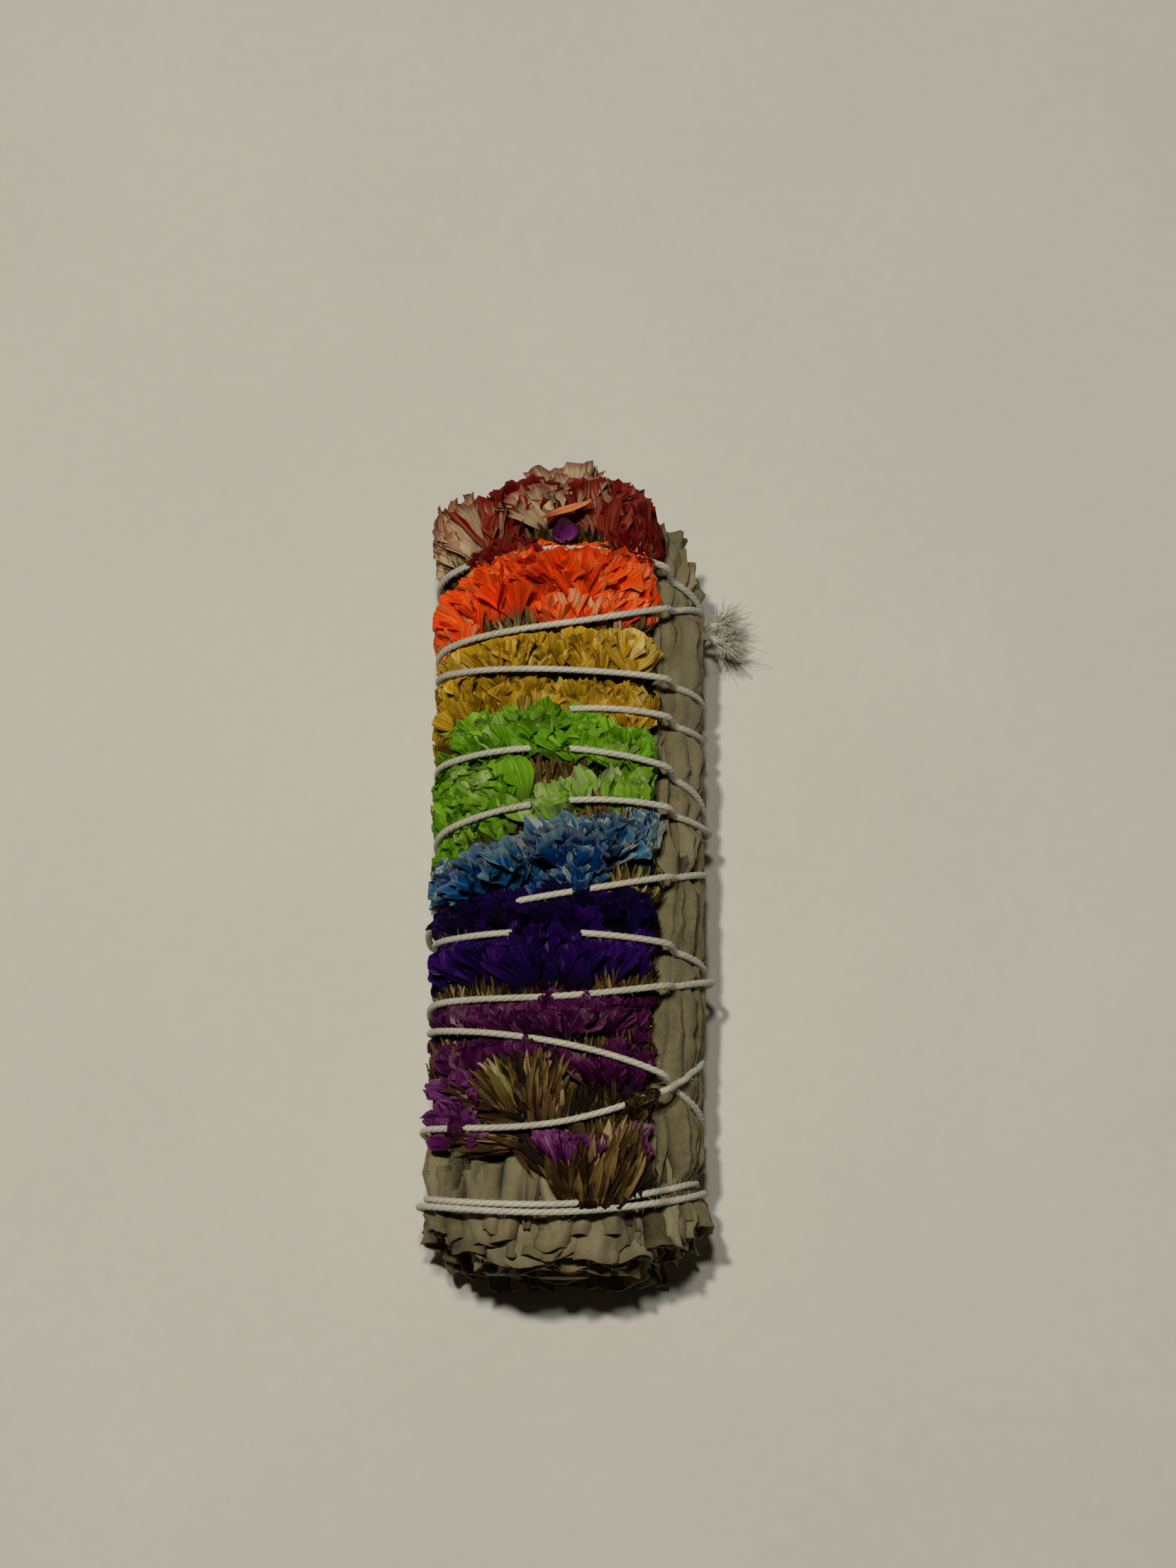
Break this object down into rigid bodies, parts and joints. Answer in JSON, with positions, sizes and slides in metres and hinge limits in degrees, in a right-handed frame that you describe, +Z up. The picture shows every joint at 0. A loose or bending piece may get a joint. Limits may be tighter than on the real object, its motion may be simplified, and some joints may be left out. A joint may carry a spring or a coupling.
{
  "type": "statice smudge stick",
  "caption": "Bundle of pressed sage leaves with rows of dyed papery statice florets along its top, bound from end to end by one wound cotton string.",
  "frame": {"origin": "middle of the object's box, on the surface that the stick lies on", "axes": "+Y along the stick from its cut leaf ends to its red flowers, +Z up out of the flowered side, +X towards the string's frayed knot"},
  "size_m": [0.0452, 0.105, 0.031],
  "materials": {
    "sage_leaf": "dry felted grey-green leaf, matt",
    "dry_bract": "dry brown-olive stems and bracts, matt",
    "red_petal": "papery dyed petal, cream at the heart",
    "orange_petal": "papery dyed petal",
    "yellow_petal": "papery dyed petal",
    "green_petal": "papery dyed petal",
    "blue_petal": "papery dyed petal, pale in places",
    "indigo_petal": "papery dyed petal, very dark",
    "violet_petal": "papery dyed petal",
    "lilac_petal": "papery dyed petal",
    "cotton": "twisted cotton string, matt"
  },
  "bodies": {
    "root": {"sage_sprig_1": "sage_leaf", "sage_sprig_2": "sage_leaf", "sage_sprig_3": "sage_leaf", "sage_sprig_4": "sage_leaf", "sage_sprig_5": "sage_leaf", "sage_sprig_6": "sage_leaf", "red_florets": "red_petal", "red_bracts": "dry_bract", "orange_florets": "orange_petal", "orange_bracts": "dry_bract", "yellow_florets": "yellow_petal", "yellow_bracts": "dry_bract", "green_florets": "green_petal", "green_bracts": "dry_bract", "blue_florets": "blue_petal", "blue_bracts": "dry_bract", "indigo_florets": "indigo_petal", "indigo_bracts": "dry_bract", "violet_florets": "violet_petal", "violet_bracts": "dry_bract", "lilac_florets": "lilac_petal", "lilac_bracts": "dry_bract", "cotton_string": "cotton"}
  },
  "joints": []
}
